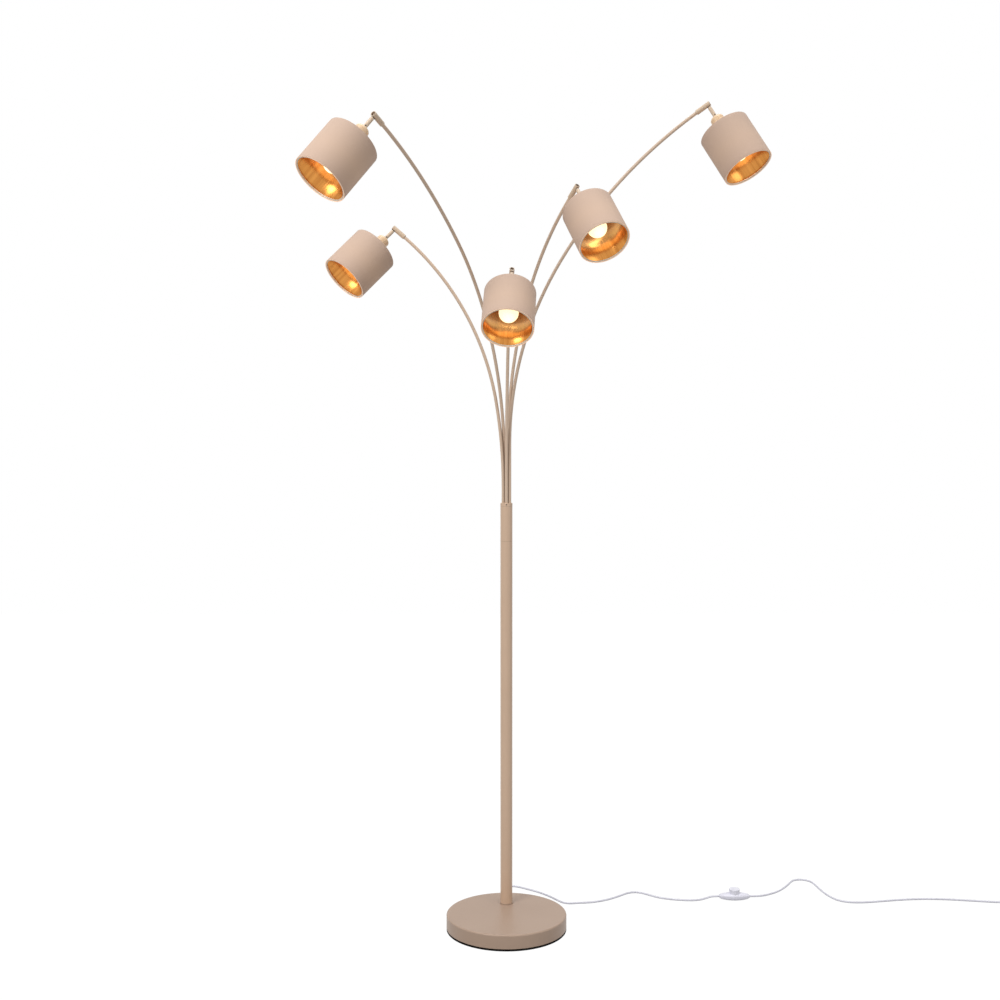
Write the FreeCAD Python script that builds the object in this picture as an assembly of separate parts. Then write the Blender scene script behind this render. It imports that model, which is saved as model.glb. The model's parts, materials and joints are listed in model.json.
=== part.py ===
import FreeCAD, Part
import math
import os
from FreeCAD import Vector

# Tree floor lamp: a weighted round base, one pole, five bent arms that swivel in the pole's cap,
# and on each arm a shade that turns about the arm's end.
# Millimetres. Origin: centre of the base's underside, on the floor. +Z up, -Y front, +X right.

# ---------------------------------------------------------------- base
BASE_D = 296.0             # outside diameter of the painted cover
BASE_H = 39.5              # floor to the cover's top face
COVER_WALL = 1.5
COVER_LIFT = 6.0           # height of the cover's lower edge above the floor
COVER_EDGE_R = 3.5
PAD_TOP = 6.0               # floor to the top of the pad, level with the cover's edge
PAD_GAP = 1.0              # pad inside the cover's inner wall
NUBS = 9                   # low feet moulded on the pad
NUB_D = 14.0
NUB_H = 1.2
NUB_SET = 8.0              # centre of a foot inside the pad's edge
MID_FOOT_D = 80.0          # low foot in the middle of the pad
WEIGHT_T = 14.0
WEIGHT_GAP = 2.5           # weight to the cover's wall
BOSS_D = 46.0              # raised seat of the weight under the pole
BOSS_ROOF = 8.5            # metal left above the nut's recess
RECESS_D = 34.0
GROOVE_W = 14.0            # groove under the weight for the supply lead
GROOVE_H = 12.0

# ---------------------------------------------------------------- pole
POLE_BACK = 70.0           # pole axis behind the base's centre
POLE_D = 30.0
POLE_WALL = 1.5
POLE_SEAM = 955.5          # height of the joint below the head tube
POLE_TOP = 1050.5          # height of the cap's top face
COLLAR_D = 33.5
COLLAR_T = 2.5
STUD_D = 10.0
STUD_BORE = 6.0
STUD_PLUG = 20.0           # length of the stud's plug inside the pole
NUT_AF = 17.0
NUT_T = 6.0
STUD_PAST_NUT = 1.0
SPIGOT_L = 30.0            # neck of the head tube inside the pole
SPIGOT_WALL = 2.0
WEB_T = 3.0
WEB_HOLE = 9.0
CAP_T = 8.0
CAP_PLUG = 40.0            # cap's plug inside the head tube
CAP_CHAMFER = 0.6
SCREW_D = 2.9
SCREW_HOLE = 3.1
SCREW_SHY = 0.4            # screw head below the cap's surface

# ---------------------------------------------------------------- clearances
FIT = 0.05                 # radial clearance of a running or push fit
LOOSE = 0.2                # radial clearance of a bolt hole
PART_GAP = 0.3             # between pieces that may not touch

# ---------------------------------------------------------------- terminal block and lead
BLOCK_X = 18.0
BLOCK_Y = 12.0
BLOCK_Z = 14.0
BLOCK_SCREW_D = 3.6
BLOCK_SCREW_H = 0.8
LEAD_D = 4.0
LEAD_BEND = 8.0

# ---------------------------------------------------------------- arms
ARM_D = 8.0
ARM_BORE = 6.0
RING_R = 8.4               # pitch radius of the five arm sockets
SOCKET_DEPTH = 40.0
LEAD_HOLE = 5.0
ARM_IN = 22.0              # arm's end inside the barrel

# Each arm: the socket's place round the pole and the way that the arm leans, both in degrees from
# the front towards +X; the height where it starts to bend; two tangent bends, radius and degrees;
# the head's turn about the arm's end, from hanging in the arm's own plane; and the stem's tilt
# towards the barrel's nose, from square to the barrel.
ARMS = [
    dict(socket=-144.0, lean=-25.9, start=1145.5, bends=((663.0, 50.7), (1275.0, 17.7)),
         turn=-19.8, tilt=14.4),
    dict(socket=-72.0, lean=-92.3, start=1091.5, bends=((1265.0, 9.7), (691.0, 39.2)),
         turn=23.4, tilt=0.0),
    dict(socket=0.0, lean=3.7, start=1111.5, bends=((915.0, 19.3), (385.0, 30.1)),
         turn=-5.6, tilt=0.0),
    dict(socket=144.0, lean=35.5, start=1206.5, bends=((787.0, 29.3), (661.0, 19.8)),
         turn=-5.6, tilt=0.0),
    dict(socket=72.0, lean=70.1, start=1197.5, bends=((818.0, 33.0), (1091.0, 24.7)),
         turn=-9.1, tilt=0.0),
]

# ---------------------------------------------------------------- head, measured from the ball's centre
BARREL_D = 12.0
BARREL_L = 37.0
BARREL_NOSE = 6.0          # ball's centre to the barrel's outer end
NOSE_LIP_D = 6.8           # open mouth at the barrel's outer end
NOSE_LIP_T = 1.6
BALL_D = 8.0
BALL_GAP = 0.3             # ball to its chamber
CHAMBER_BACK = 4.6         # chamber behind the ball's centre
SLOT_W = 4.6               # width of the slot that the neck swings in
TILT_MAX = 18.0            # stem's tilt each way, degrees
STEM_D = 9.0
STEM_BORE = 6.0
STEM_GAP = 1.8             # open neck between barrel and stem
STEM_TOP_D = 6.4
STEM_TAPER = 1.5
STEM_ROOF = 3.0            # solid end of the stem above its bore
NECK_D = 4.0
NECK_BORE = 2.2
COVER_TOP = 39.0           # ball to the top of the lampholder's cover
STEM_PAST = 2.0            # stem's end past the cover's roof
HOLDER_D = 32.0
HOLDER_WALL = 1.2
HOLDER_SHOULDER = 7.0
SHADE_DROP = 77.0          # ball to the shade's upper edge
SHADE_D = 120.0
SHADE_H = 114.0
SHADE_WALL = 1.6
WASHER_DROP = 2.0          # shade's upper edge to the carrier washer
WASHER_T = 1.2
WASHER_D = 40.0
WIRE_D = 3.0
WIRE_SET = 2.0             # wire ring from the shade's edge
SPOKE_D = 2.5
SPOKES = 3
SPOKE_TURN = 90.0          # first spoke, degrees about the shade's axis
SOCKET_D = 28.0
SOCKET_TOP_D = 23.0        # narrower end inside the cover's round shoulder
SOCKET_STEP = 47.0         # ball to the step between the two
SOCKET_END = 32.0          # shade's upper edge to the socket's mouth
SOCKET_BORE = 15.0
RING_NUT_D = 34.0
RING_NUT_T = 5.0
BULB_SEAT = 9.5            # shade's upper edge to the bulb's contact
BULB_CAP_D = 13.8
BULB_CAP_L = 20.0
BULB_D = 45.0
BULB_L = 78.0
BULB_NECK_D = 18.0

# ---------------------------------------------------------------- cord, switch and plug
CORD_D = 5.0
GLAND_Z = 14.0
GLAND_FLANGE_D = 13.0
GLAND_FLANGE_T = 2.0
GLAND_BODY_D = 9.6
GLAND_HOLE = 10.0
GLAND_IN = 2.2             # gland inside the cover's wall
GLAND_TAPER_L = 30.0
GLAND_ROOT_D = 9.5
GLAND_TIP_D = 7.0

SWITCH_X = 600.0
SWITCH_Y = 205.5
SWITCH_L = 82.0
SWITCH_W = 34.0
SWITCH_END_W = 12.0        # width of the blunt ends
SWITCH_SPLIT = 9.0         # height of the joint between the two halves
SWITCH_H = 18.0
SWITCH_END_DROP = 2.5      # how much lower the top, and higher the underside, is at the ends
SWITCH_FLAT = 52.0         # length of the flat underside
SWITCH_WALL = 2.0
BUTTON_D = 27.5
BUTTON_TOP = 29.3
BUTTON_TRAVEL = 2.5
BUTTON_EDGE_R = 1.6
BUTTON_FLANGE = 0.8
BUTTON_FLANGE_T = 1.5
BUTTON_FLANGE_GAP = 0.8    # flange to the roof's highest point, clear of its dome
STOP_D = 14.0              # block under the button that ends its travel

PLUG_BODY_L = 36.0
PLUG_BODY_W = 26.0
PLUG_NECK_W = 14.0
PLUG_T = 13.6
PLUG_RELIEF_L = 22.0
PLUG_RELIEF_D = 7.0
PIN_D = 4.0
PIN_L = 19.0
PIN_PITCH = 18.6

COIL_X = 1450.0
COIL_Y = 208.0
COIL_R = 36.0              # centre line of the outer turn where the cord enters
COIL_PITCH = 5.6
COIL_WIND = 810.0          # degrees wound before the end crosses out over the turns
COIL_CROSS = 90.0          # degrees of the crossing
COIL_LIFT_FROM = 700.0     # degrees where the end starts to climb
COIL_LIFT = 5.8
COIL_OUT = 20.0            # how far the end moves out as it crosses
COIL_STEP = 45.0           # degrees between the points of the winding's arcs
COIL_TAIL = 30.0
COIL_STRAIGHT = 6.0

FLOOR_Z = CORD_D / 2.0     # centre line of a cord that lies on the floor
MIN_RADIUS = 5 * CORD_D

# Routes of the free cord, chosen by hand: the first leaves the gland behind the base, passes round
# it to the right and enters the foot switch; the second runs from the switch towards the coil.
ROUTE_TO_SWITCH = [
    (0, 180, 14), (0, 198, 14), (-3, 224, 9.5), (-12, 254, 3), (-12.5, 284, 2.5), (2.5, 301, 2.5),
    (25, 303, 2.5), (58, 279, 2.5), (88, 254.5, 2.5), (113, 225.5, 2.5), (134, 194, 2.5),
    (147, 176, 2.5), (164, 169, 2.5), (188, 174, 2.5), (218, 176.5, 2.5), (248, 187.5, 2.5),
    (276, 205, 2.5), (301, 227, 2.5), (318, 244.5, 2.5), (336, 255, 2.5), (355, 253.5, 2.5),
    (375, 237.5, 2.5), (400, 214, 2.5), (428, 202, 2.5), (455, 195.5, 2.5), (483, 192, 2.5),
    (507, 196, 2.5), (524, 202, 4.5), (541, 205.5, 9), (559, 205.5, 9),
]
ROUTE_AFTER_SWITCH = [
    (641, 205.5, 9), (659, 205.5, 9), (679, 218, 6), (701, 238.5, 3.2), (722, 255.5, 2.5),
    (746, 283, 2.5), (766, 315, 2.5), (784, 347, 2.5), (801, 355.5, 2.5), (819, 353, 2.5),
    (833, 340, 2.5), (838.5, 312, 2.5), (842, 280, 2.5), (847.5, 246, 2.5), (857, 214, 2.5),
    (872, 189, 2.5), (897, 177, 2.5), (932, 176, 2.5), (975, 184, 2.5), (1030, 196, 2.5),
    (1090, 203, 2.5), (1150, 201, 2.5), (1210, 191, 2.5), (1268, 180, 2.5), (1325, 174.5, 2.5),
    (1380, 172, 2.5), (1416, 172.3, 2.5),
]


# ================================================================ helpers
def turned(profile):
    """A solid of revolution about Z from the (radius, height) corners of a closed outline."""
    corners = [Vector(r, 0.0, z) for r, z in profile]
    face = Part.Face(Part.makePolygon(corners + corners[:1]))
    return face.revolve(Vector(0, 0, 0), Vector(0, 0, 1), 360)


def rod(diameter, low, high, x=0.0, y=0.0):
    """An upright cylinder between two heights."""
    return Part.makeCylinder(diameter / 2.0, high - low, Vector(x, y, low))


def pipe(outer_d, inner_d, low, high, x=0.0, y=0.0):
    """An upright tube between two heights."""
    return rod(outer_d, low, high, x, y).cut(rod(inner_d, low, high, x, y))


def block(x_size, y_size, low, high, x=0.0, y=0.0):
    """An upright box centred on (x, y) between two heights."""
    corner = Vector(x - x_size / 2.0, y - y_size / 2.0, low)
    return Part.makeBox(x_size, y_size, high - low, corner)


def seated(shape, origin, x_axis, z_axis):
    """The shape moved from its own frame to the frame with this origin and these axes."""
    y_axis = z_axis.cross(x_axis)
    matrix = FreeCAD.Matrix(
        x_axis.x, y_axis.x, z_axis.x, origin.x,
        x_axis.y, y_axis.y, z_axis.y, origin.y,
        x_axis.z, y_axis.z, z_axis.z, origin.z,
        0, 0, 0, 1)
    moved = shape.copy()
    moved.Placement = FreeCAD.Placement(matrix)
    return moved


def along(centre, direction, amount):
    return centre + direction * amount


def heading(degrees):
    """The level direction at this angle from the front (-Y) towards +X."""
    a = math.radians(degrees)
    return Vector(math.sin(a), -math.cos(a), 0.0)


def turned_about(vector, axis, degrees):
    return FreeCAD.Rotation(axis, degrees).multVec(vector)


def level_edges(shape, height):
    """The shape's edges that lie level at this height."""
    return [e for e in shape.Edges if abs(e.BoundBox.ZMin - height) < 0.01 and e.BoundBox.ZLength < 0.01]


def swept(path, diameter, start, direction):
    """A round rod along a smooth path of edges."""
    ring = Part.Wire(Part.makeCircle(diameter / 2.0, start, direction))
    return path.makePipeShell([ring], True, False)


def report_volume(name, shape, diameter, length):
    expected = math.pi * diameter ** 2 / 4.0 * length
    print("%s volume / section x length %.4f" % (name, shape.Volume / expected))


# ================================================================ heights that follow
COVER_IN_R = BASE_D / 2.0 - COVER_WALL
COVER_UNDER = BASE_H - COVER_WALL
RECESS_TOP = COVER_UNDER - BOSS_ROOF
STUD_LOW = RECESS_TOP - NUT_T - STUD_PAST_NUT
STUD_HOLE = STUD_D + 2 * LOOSE
POLE_LOW = BASE_H + COLLAR_T
POLE_BORE = POLE_D - 2 * POLE_WALL
CAP_LOW = POLE_TOP - CAP_T
PLUG_LOW = CAP_LOW - CAP_PLUG
SOCKET_LOW = POLE_TOP - SOCKET_DEPTH
SOCKET_FIT_D = ARM_D + 2 * FIT
BLOCK_LOW = POLE_SEAM + WEB_T
GLAND_IN_Y = COVER_IN_R - GLAND_IN
GLAND_FACE_Y = BASE_D / 2.0
GLAND_END_Y = GLAND_FACE_Y + GLAND_FLANGE_T + GLAND_TAPER_L
STEM_LOW = -(COVER_TOP + HOLDER_WALL + STEM_PAST)
STEM_HIGH = -(BARREL_D / 2.0 + STEM_GAP)
TILT = math.radians(TILT_MAX)
SLOT_L = BARREL_D * math.tan(TILT) + NECK_D / math.cos(TILT) + 4 * PART_GAP
SHADE_TOP = -SHADE_DROP
WASHER_TOP = SHADE_TOP - WASHER_DROP
NUT_TOP = WASHER_TOP - WASHER_T
BUTTON_FLANGE_TOP = SWITCH_H - SWITCH_WALL - BUTTON_FLANGE_GAP
BUTTON_LOW = BUTTON_FLANGE_TOP - BUTTON_FLANGE_T
STOP_TOP = BUTTON_LOW - BUTTON_TRAVEL - PART_GAP


# ================================================================ base
def base_pad():
    """Dark disc under the weight, with a wide foot in its middle and a ring of low feet."""
    pad_r = COVER_IN_R - PAD_GAP
    pad = rod(2 * pad_r, NUB_H, PAD_TOP).fuse(rod(MID_FOOT_D, 0.0, NUB_H))
    for k in range(NUBS):
        out = heading(360.0 * (k + 0.5) / NUBS) * (pad_r - NUB_SET)
        pad = pad.fuse(rod(NUB_D, 0.0, NUB_H, out.x, out.y))
    return pad


def base_weight():
    """Iron disc with a boss under the pole, the nut's recess and a groove for the lead."""
    disc = rod(2 * (COVER_IN_R - WEIGHT_GAP), PAD_TOP, PAD_TOP + WEIGHT_T)
    boss = rod(BOSS_D, PAD_TOP, COVER_UNDER, 0.0, POLE_BACK)
    recess = rod(RECESS_D, PAD_TOP, RECESS_TOP, 0.0, POLE_BACK)
    hole = rod(STUD_HOLE, PAD_TOP, COVER_UNDER, 0.0, POLE_BACK)
    groove_l = COVER_IN_R - POLE_BACK
    groove = block(GROOVE_W, groove_l, PAD_TOP, PAD_TOP + GROOVE_H, 0.0, POLE_BACK + groove_l / 2.0)
    return disc.fuse(boss).cut(recess).cut(hole).cut(groove)


def base_cover():
    """Pressed shell with a rolled upper edge, open underneath."""
    r = BASE_D / 2.0
    outer = rod(BASE_D, COVER_LIFT, BASE_H)
    outer = outer.makeFillet(COVER_EDGE_R, level_edges(outer, BASE_H))
    inner = rod(2 * COVER_IN_R, COVER_LIFT, COVER_UNDER)
    inner = inner.makeFillet(COVER_EDGE_R - COVER_WALL, level_edges(inner, COVER_UNDER))
    shell = outer.cut(inner)
    shell = shell.cut(rod(STUD_HOLE, COVER_UNDER, BASE_H, 0.0, POLE_BACK))
    gland_hole = Part.makeCylinder(GLAND_HOLE / 2.0, 4 * COVER_WALL, Vector(0, r - 3 * COVER_WALL, GLAND_Z),
                                   Vector(0, 1, 0))
    return shell.cut(gland_hole)


def foot_collar():
    return pipe(COLLAR_D, STUD_HOLE, BASE_H, POLE_LOW, 0.0, POLE_BACK)


def foot_stud():
    """Hollow threaded stud with a plug that fills the foot of the pole."""
    plug = rod(POLE_BORE - 2 * FIT, POLE_LOW, POLE_LOW + STUD_PLUG, 0.0, POLE_BACK)
    stud = rod(STUD_D, STUD_LOW, POLE_LOW + STUD_PLUG, 0.0, POLE_BACK)
    return plug.fuse(stud).cut(rod(STUD_BORE, STUD_LOW, POLE_LOW + STUD_PLUG, 0.0, POLE_BACK))


def foot_nut():
    """Hexagon nut under the weight, across flats along X."""
    corner_r = NUT_AF / math.sqrt(3.0)
    nut_low = RECESS_TOP - NUT_T
    corners = []
    for k in range(6):
        a = math.radians(60.0 * k + 30.0)
        corners.append(Vector(corner_r * math.cos(a), POLE_BACK + corner_r * math.sin(a), nut_low))
    hexagon = Part.Face(Part.makePolygon(corners + corners[:1]))
    nut = hexagon.extrude(Vector(0, 0, NUT_T))
    return nut.cut(rod(STUD_D + 2 * FIT, nut_low, RECESS_TOP, 0.0, POLE_BACK))


# ================================================================ pole
def pole():
    return pipe(POLE_D, POLE_BORE, POLE_LOW, POLE_SEAM, 0.0, POLE_BACK)


def head_tube():
    """Short upper tube with a neck inside the pole and a web that carries the terminal block."""
    neck_d = POLE_BORE - 2 * FIT
    tube = pipe(POLE_D, POLE_BORE, POLE_SEAM, CAP_LOW, 0.0, POLE_BACK)
    neck = pipe(neck_d, neck_d - 2 * SPIGOT_WALL, POLE_SEAM - SPIGOT_L, POLE_SEAM, 0.0, POLE_BACK)
    web = pipe(POLE_D, WEB_HOLE, POLE_SEAM, POLE_SEAM + WEB_T, 0.0, POLE_BACK)
    return tube.fuse(web).fuse(neck)


def socket_centre(arm):
    return Vector(0, POLE_BACK, 0) + heading(arm["socket"]) * RING_R


def pole_cap():
    """Plug with five arm sockets and a screw hole to each from the side."""
    disc = rod(POLE_D, CAP_LOW, POLE_TOP, 0.0, POLE_BACK)
    cap = disc.makeChamfer(CAP_CHAMFER, level_edges(disc, POLE_TOP))
    cap = cap.fuse(rod(POLE_BORE - 2 * FIT, PLUG_LOW, CAP_LOW, 0.0, POLE_BACK))
    for arm in ARMS:
        c = socket_centre(arm)
        cap = cap.cut(rod(SOCKET_FIT_D, SOCKET_LOW, POLE_TOP, c.x, c.y))
        cap = cap.cut(rod(LEAD_HOLE, PLUG_LOW, SOCKET_LOW, c.x, c.y))
        out = heading(arm["socket"])
        level = Vector(c.x, c.y, CAP_LOW + CAP_T / 2.0)
        cap = cap.cut(Part.makeCylinder(SCREW_HOLE / 2.0, POLE_D / 2.0, level, out))
    return cap


def cap_screws():
    """One headless screw for each socket, just off the arm that it holds."""
    start = ARM_D / 2.0 + PART_GAP
    length = POLE_D / 2.0 - RING_R - start - SCREW_SHY
    screws = []
    for arm in ARMS:
        c = socket_centre(arm)
        out = heading(arm["socket"])
        level = Vector(c.x, c.y, CAP_LOW + CAP_T / 2.0)
        screws.append(Part.makeCylinder(SCREW_D / 2.0, length, along(level, out, start), out))
    return Part.makeCompound(screws)


def terminal_block():
    """Connector body on the web, with a row of clamp screws on its front."""
    body = block(BLOCK_X, BLOCK_Y, BLOCK_LOW, BLOCK_LOW + BLOCK_Z, 0.0, POLE_BACK)
    face_y = POLE_BACK - BLOCK_Y / 2.0
    outward = Vector(0, -1, 0)
    for side in (-1, 1):
        for row in (1, 3):
            screw_at = Vector(side * BLOCK_X / 4.0, face_y, BLOCK_LOW + BLOCK_Z * row / 4.0)
            screw = Part.makeCylinder(BLOCK_SCREW_D / 2.0, BLOCK_SCREW_H, screw_at, outward)
            body = body.fuse(screw)
    return body


def supply_lead():
    """From the gland along the groove, up through the stud and the pole to the terminal block."""
    start = Vector(0, GLAND_IN_Y, GLAND_Z)
    corner = Vector(0, POLE_BACK, GLAND_Z)
    bend_in = corner + Vector(0, LEAD_BEND, 0)
    bend_out = corner + Vector(0, 0, LEAD_BEND)
    half = LEAD_BEND * (1 - math.sqrt(0.5))
    middle = corner + Vector(0, half, half)
    end = Vector(0, POLE_BACK, BLOCK_LOW)
    path = Part.Wire([Part.makeLine(start, bend_in), Part.Arc(bend_in, middle, bend_out).toShape(),
                      Part.makeLine(bend_out, end)])
    lead = swept(path, LEAD_D, start, Vector(0, -1, 0))
    report_volume("supply_lead", lead, LEAD_D, path.Length)
    return lead


# ================================================================ arms
def arm_path(arm):
    """The arm's centre line: edges from the socket, the barrel's inner end, and its direction there."""
    out = heading(arm["lean"])
    up = Vector(0, 0, 1)
    foot = socket_centre(arm)
    foot.z = SOCKET_LOW
    here = Vector(foot.x, foot.y, arm["start"])
    edges = [Part.makeLine(foot, here)]
    angle = 0.0
    for radius, degrees in arm["bends"]:
        full = angle + math.radians(degrees)
        half = (angle + full) / 2.0

        def point(a):
            rise = radius * (math.sin(a) - math.sin(angle))
            reach = radius * (math.cos(angle) - math.cos(a))
            return here + up * rise + out * reach

        edges.append(Part.Arc(point(angle), point(half), point(full)).toShape())
        here = point(full)
        angle = full
    direction = out * math.sin(angle) + up * math.cos(angle)
    edges.append(Part.makeLine(here, along(here, direction, ARM_IN)))
    return Part.Wire(edges), here, direction


def arm_tube(arm):
    path, barrel_end, direction = arm_path(arm)
    foot = path.Edges[0].Vertexes[0].Point
    outer = swept(path, ARM_D, foot, Vector(0, 0, 1))
    inner = swept(path, ARM_BORE, foot, Vector(0, 0, 1))
    report_volume("arm", outer, ARM_D, path.Length)
    return outer.cut(inner)


def head_frames(arm):
    """Ball centre, barrel direction, square-down direction, and the shade's own down direction."""
    path, barrel_end, direction = arm_path(arm)
    ball = along(barrel_end, direction, BARREL_L - BARREL_NOSE)
    out = heading(arm["lean"])
    hanging = direction.cross(out.cross(Vector(0, 0, 1)))
    hanging = turned_about(hanging, direction, arm["turn"])
    down = turned_about(hanging, hanging.cross(direction), arm["tilt"])
    return ball, direction, hanging, down


# ================================================================ head, in its own frame
def barrel():
    """Sleeve on the arm's end: ball chamber, open nose and the slot for the stem's neck.

    Its axis is X, with the nose at +X; the stem hangs towards -Z.
    """
    x_axis = Vector(1, 0, 0)
    back = BARREL_NOSE - BARREL_L

    def bored(diameter, low, high):
        return Part.makeCylinder(diameter / 2.0, high - low, Vector(low, 0, 0), x_axis)

    chamber_d = BALL_D + 2 * BALL_GAP
    lip = BARREL_NOSE - NOSE_LIP_T
    body = bored(BARREL_D, back, BARREL_NOSE)
    body = body.cut(bored(SOCKET_FIT_D, back, back + ARM_IN + PART_GAP))
    body = body.cut(bored(ARM_BORE, back, -CHAMBER_BACK))
    body = body.cut(bored(chamber_d, -CHAMBER_BACK, lip))
    body = body.cut(bored(NOSE_LIP_D, lip, BARREL_NOSE))
    return body.cut(block(SLOT_L, SLOT_W, -BARREL_D, 0.0))


def stem():
    """Ball, thin neck and the tube down to the lampholder's cover."""
    ball = Part.makeSphere(BALL_D / 2.0)
    neck = rod(NECK_D, STEM_HIGH, 0.0)
    r = STEM_D / 2.0
    top_r = STEM_TOP_D / 2.0
    tube = turned([(0, STEM_LOW), (r, STEM_LOW), (r, STEM_HIGH - STEM_TAPER), (top_r, STEM_HIGH),
                   (0, STEM_HIGH)])
    body = tube.fuse(neck).fuse(ball)
    body = body.cut(rod(STEM_BORE, STEM_LOW, STEM_HIGH - STEM_ROOF))
    return body.cut(rod(NECK_BORE, STEM_LOW, BALL_D))


def holder_cover():
    """Metal cup over the lampholder, with a round shoulder."""
    top = -COVER_TOP
    outer = rod(HOLDER_D, WASHER_TOP, top)
    inner = rod(HOLDER_D - 2 * HOLDER_WALL, WASHER_TOP, top - HOLDER_WALL)
    outer = outer.makeFillet(HOLDER_SHOULDER, level_edges(outer, top))
    inner = inner.makeFillet(HOLDER_SHOULDER - HOLDER_WALL, level_edges(inner, top - HOLDER_WALL))
    return outer.cut(inner).cut(rod(STEM_D + 2 * FIT, top - HOLDER_WALL, top))


def lamp_socket():
    """Threaded lampholder, and the ring nut that clamps the shade's washer to the cover."""
    mouth = SHADE_TOP - SOCKET_END
    top = STEM_LOW - PART_GAP
    body = rod(SOCKET_D, mouth, -SOCKET_STEP).fuse(rod(SOCKET_TOP_D, -SOCKET_STEP, top))
    body = body.cut(rod(SOCKET_BORE, mouth, SHADE_TOP - BULB_SEAT))
    nut = pipe(RING_NUT_D, SOCKET_D + 2 * FIT, NUT_TOP - RING_NUT_T, NUT_TOP)
    return Part.makeCompound([body, nut])


def shade_carrier():
    """Washer, spokes and the upper wire ring in one piece, and the lower wire ring in the hem."""
    wire_r = SHADE_D / 2.0 - SHADE_WALL - WIRE_D / 2.0 - FIT
    upper_z = WASHER_TOP - WASHER_T / 2.0
    lower_z = SHADE_TOP - SHADE_H + WIRE_SET
    body = pipe(WASHER_D, SOCKET_D + 2 * LOOSE, NUT_TOP, WASHER_TOP)
    body = body.fuse(Part.makeTorus(wire_r, WIRE_D / 2.0, Vector(0, 0, upper_z)))
    inner_r = WASHER_D / 2.0 - SPOKE_D
    for k in range(SPOKES):
        a = math.radians(SPOKE_TURN + 360.0 * k / SPOKES)
        out = Vector(math.cos(a), math.sin(a), 0)
        start = out * inner_r + Vector(0, 0, upper_z)
        spoke = Part.makeCylinder(SPOKE_D / 2.0, wire_r - inner_r, start, out)
        body = body.fuse(spoke.cut(rod(SOCKET_D + 2 * LOOSE, NUT_TOP - SPOKE_D, WASHER_TOP + SPOKE_D)))
    lower = Part.makeTorus(wire_r, WIRE_D / 2.0, Vector(0, 0, lower_z))
    return Part.makeCompound([body, lower])


def shade():
    return pipe(SHADE_D, SHADE_D - 2 * SHADE_WALL, SHADE_TOP - SHADE_H, SHADE_TOP)


def bulb():
    """Screw cap, and a round glass that narrows to it."""
    contact = SHADE_TOP - BULB_SEAT
    cap_end = contact - BULB_CAP_L
    r = BULB_D / 2.0
    centre = contact - BULB_L + r
    neck_r = BULB_NECK_D / 2.0
    neck_z = centre + math.sqrt(r ** 2 - neck_r ** 2)
    cap = turned([(0, cap_end), (BULB_CAP_D / 2.0, cap_end), (BULB_CAP_D / 2.0, contact - BULB_CAP_D / 4.0),
                  (BULB_CAP_D / 4.0, contact), (0, contact)])
    neck = turned([(0, neck_z - r / 4.0), (neck_r, neck_z), (BULB_CAP_D / 2.0, cap_end), (0, cap_end)])
    glass = Part.makeSphere(r, Vector(0, 0, centre)).fuse(neck)
    return Part.makeCompound([cap, glass])


# ================================================================ cord
def cord_gland():
    """Bushing through the cover's rear wall with a tapered strain relief, along +Y."""
    flange_in = GLAND_FACE_Y
    flange_out = flange_in + GLAND_FLANGE_T
    profile = [(0, GLAND_IN_Y), (GLAND_BODY_D / 2.0, GLAND_IN_Y), (GLAND_BODY_D / 2.0, flange_in),
               (GLAND_FLANGE_D / 2.0, flange_in), (GLAND_FLANGE_D / 2.0, flange_out),
               (GLAND_ROOT_D / 2.0, flange_out), (GLAND_TIP_D / 2.0, GLAND_END_Y), (0, GLAND_END_Y)]
    return seated(turned(profile), Vector(0, 0, GLAND_Z), Vector(-1, 0, 0), Vector(0, 1, 0))


def cord_run(name, route):
    """A tube of straight runs joined by tangent arcs; prints the arcs' radii."""
    points = [Vector(*p) for p in route]
    edges = []
    radii = []
    here = points[0]
    for before, corner, after in zip(points, points[1:], points[2:]):
        back = (before - corner).normalize()
        ahead = (after - corner).normalize()
        tangent = 0.45 * min((before - corner).Length, (after - corner).Length)
        half_turn = (math.pi - back.getAngle(ahead)) / 2.0
        radius = tangent / math.tan(half_turn)
        inward = (back + ahead).normalize()
        start = corner + back * tangent
        end = corner + ahead * tangent
        middle = corner + inward * (radius / math.cos(half_turn) - radius)
        edges.append(Part.makeLine(here, start))
        edges.append(Part.Arc(start, middle, end).toShape())
        radii.append(radius)
        here = end
    edges.append(Part.makeLine(here, points[-1]))
    path = Part.Wire(edges)
    tube = swept(path, CORD_D, points[0], points[1] - points[0])
    print(name, "length %.0f, least radius %.1f of at least %.0f" % (path.Length, min(radii), MIN_RADIUS))
    print(name, "radii", " ".join("%.0f" % r for r in radii))
    report_volume(name, tube, CORD_D, path.Length)
    return tube


def eased(value):
    """0 below 0, 1 above 1, with a smooth step between."""
    v = min(max(value, 0.0), 1.0)
    return v * v * (3.0 - 2.0 * v)


def coil_point(degrees):
    """The winding's centre line: a flat spiral inwards that climbs and crosses out over itself."""
    r = COIL_R - COIL_PITCH * degrees / 360.0 + COIL_OUT * eased((degrees - COIL_WIND) / COIL_CROSS)
    z = FLOOR_Z + COIL_LIFT * eased((degrees - COIL_LIFT_FROM) / (COIL_WIND - COIL_LIFT_FROM))
    a = math.radians(degrees - 90.0)
    return Vector(COIL_X + r * math.cos(a), COIL_Y + r * math.sin(a), z)


def coil_heading(degrees):
    if degrees <= 0.0:
        return Vector(1, 0, 0)
    if degrees >= COIL_WIND + COIL_CROSS:
        return Vector(-1, 0, 0)
    step = 0.01
    return (coil_point(degrees + step) - coil_point(degrees - step)).normalize()


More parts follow.
